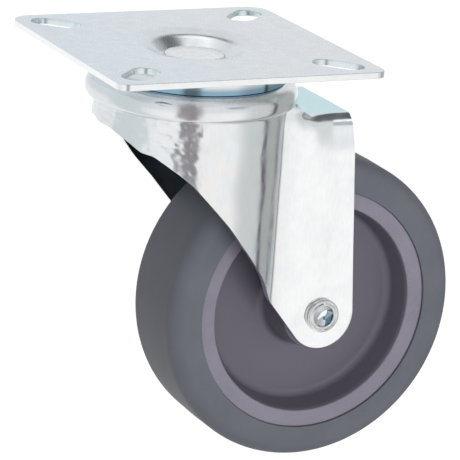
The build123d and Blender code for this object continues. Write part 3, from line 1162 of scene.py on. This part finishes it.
FLOOR_SPAN = 6.0
FLOOR_GLOW = 0.88
PLAIN_STRENGTH = 1.35
floor_level = tyre_low.z - 0.00002
floor_corners = [
    (x * FLOOR_SPAN, y * FLOOR_SPAN, floor_level)
    for x, y in ((-1, -1), (1, -1), (1, 1), (-1, 1))
]
floor_mesh = bpy.data.meshes.new("floor")
floor_mesh.from_pydata(floor_corners, [], [(0, 1, 2, 3)])
floor = bpy.data.objects.new("floor", floor_mesh)
bpy.context.scene.collection.objects.link(floor)
floor.visible_glossy = False
floor_material = bpy.data.materials.new("floor")
floor_material.use_nodes = True
tree = floor_material.node_tree
tree.nodes.clear()
seen = shader_node(tree, "ShaderNodeLightPath").outputs["Is Camera Ray"]
paint = shader_node(tree, "ShaderNodeBsdfDiffuse", {"Color": (0.9, 0.9, 0.9, 1)})
glow = shader_node(tree, "ShaderNodeEmission", {"Color": (1, 1, 1, 1), "Strength": FLOOR_GLOW})
lit = shader_node(tree, "ShaderNodeAddShader", {0: paint.outputs[0], 1: glow.outputs[0]})
shown = shader_node(tree, "ShaderNodeMixShader", {0: seen, 1: paint.outputs[0], 2: lit.outputs[0]})
shader_node(tree, "ShaderNodeOutputMaterial", {"Surface": shown.outputs[0]})
floor_mesh.materials.append(floor_material)

world = bpy.data.worlds.new("studio")
bpy.context.scene.world = world
world.use_nodes = True
tree = world.node_tree
tree.nodes.clear()
sight = shader_node(tree, "ShaderNodeTexCoord").outputs["Generated"]
flat = shader_node(tree, "ShaderNodeVectorMath", {0: sight, 1: (1, 1, 0)}, operation="MULTIPLY")
heading = shader_node(tree, "ShaderNodeVectorMath", {0: flat.outputs[0]}, operation="NORMALIZE").outputs[0]


def bearing_of(azimuth, elevation):
    """The direction at an azimuth and elevation in degrees."""
    turned, raised = radians(azimuth), radians(elevation)
    return Vector((cos(turned) * cos(raised), sin(turned) * cos(raised), sin(raised)))


def patch(colour, ray, aim, core, fade, shade):
    """The studio's tone changes to shade round one direction, fully within core degrees of it."""
    near = shader_node(tree, "ShaderNodeVectorMath", {0: ray, 1: aim}, operation="DOT_PRODUCT")
    amount = between(tree, near.outputs["Value"], 0, 1, cos(radians(fade)), cos(radians(core)))
    return mixed(tree, amount, colour, shade)


def screen(colour, azimuth, core, fade, shade):
    """A darker upright screen of the studio at one azimuth, that polished metal shows."""
    return patch(colour, heading, bearing_of(azimuth, 0), core, fade, shade)


def softbox(colour, azimuth, elevation, core, fade, shade):
    """A round soft patch of the studio in one direction, lighter or darker than what is round it."""
    return patch(colour, sight, bearing_of(azimuth, elevation), core, fade, shade)


rise_share = shader_node(tree, "ShaderNodeSeparateXYZ", {0: sight}).outputs["Z"]


def layer(colour, low, high, shade):
    """The studio's tone changes to shade as a direction's height goes from low to high degrees."""
    amount = between(tree, rise_share, 0, 1, sin(radians(low)), sin(radians(high)))
    return mixed(tree, amount, colour, shade)


# What polished metal mirrors: pale below, dark overhead, with darker screens and a few bright patches
WHITE_TONE = (1.0, 1.0, 1.0)
LAMP_TONE = (1.3, 1.3, 1.3)
studio = layer(WHITE_TONE, -14, 6, (0.82, 0.845, 0.87))
studio = screen(studio, 172, 14, 30, (0.76, 0.81, 0.82))
studio = screen(studio, -28, 8, 34, (0.66, 0.69, 0.69))
studio = screen(studio, 10, 16, 26, (0.44, 0.47, 0.46))
studio = screen(studio, -13, 1.5, 4.5, (0.08, 0.07, 0.11))
studio = layer(studio, 37, 50, (0.11, 0.12, 0.13))
studio = softbox(studio, 150, 52, 20, 32, (0.85, 0.88, 0.90))
studio = softbox(studio, 72, 82, 15, 24, LAMP_TONE)
studio = softbox(studio, -60, 31, 9, 14, (0.40, 0.47, 0.54))
studio = softbox(studio, -47, 50, 5, 9, LAMP_TONE)
studio = screen(studio, -116, 6, 15, (0.30, 0.29, 0.31))
mirror_sky = shader_node(tree, "ShaderNodeBackground", {"Color": studio, "Strength": 1.0})

# What lights the plastics: white near the horizon, dimmer in front and dark overhead
plain = screen(WHITE_TONE, 160, 40, 90, (0.55, 0.55, 0.55))
plain = layer(plain, 8, 34, (0.04, 0.04, 0.04))
plain_sky = shader_node(tree, "ShaderNodeBackground", {"Color": plain, "Strength": PLAIN_STRENGTH})
white_sky = shader_node(tree, "ShaderNodeBackground", {"Color": (1, 1, 1, 1), "Strength": 1.0})
path = shader_node(tree, "ShaderNodeLightPath").outputs
glossy = shader_node(
    tree,
    "ShaderNodeMixShader",
    {0: path["Is Glossy Ray"], 1: plain_sky.outputs[0], 2: mirror_sky.outputs[0]},
)
clear = shader_node(
    tree,
    "ShaderNodeMath",
    {0: path["Is Camera Ray"], 1: path["Is Transmission Ray"]},
    operation="MAXIMUM",
)
seen_sky = shader_node(
    tree,
    "ShaderNodeMixShader",
    {0: clear.outputs[0], 1: glossy.outputs[0], 2: white_sky.outputs[0]},
)
shader_node(tree, "ShaderNodeOutputWorld", {"Surface": seen_sky.outputs[0]})


LAMP_TARGET = Vector((0.02, 0, -0.07))


def lamp(name, azimuth, elevation, distance, size, power):
    """A soft rectangular lamp that faces the castor; polished metal doesn't mirror it."""
    data = bpy.data.lights.new(name, "AREA")
    data.shape = "RECTANGLE"
    data.size, data.size_y = size
    data.energy = power
    lit = bpy.data.objects.new(name, data)
    bpy.context.scene.collection.objects.link(lit)
    away = bearing_of(azimuth, elevation)
    lit.location = LAMP_TARGET + away * distance
    lit.visible_glossy = False
    lit.rotation_euler = away.to_track_quat("Z", "Y").to_euler()


lamp("front", -98, 8, 1.3, (0.9, 0.4), 9.0)

bpy.context.scene.view_settings.view_transform = "Standard"
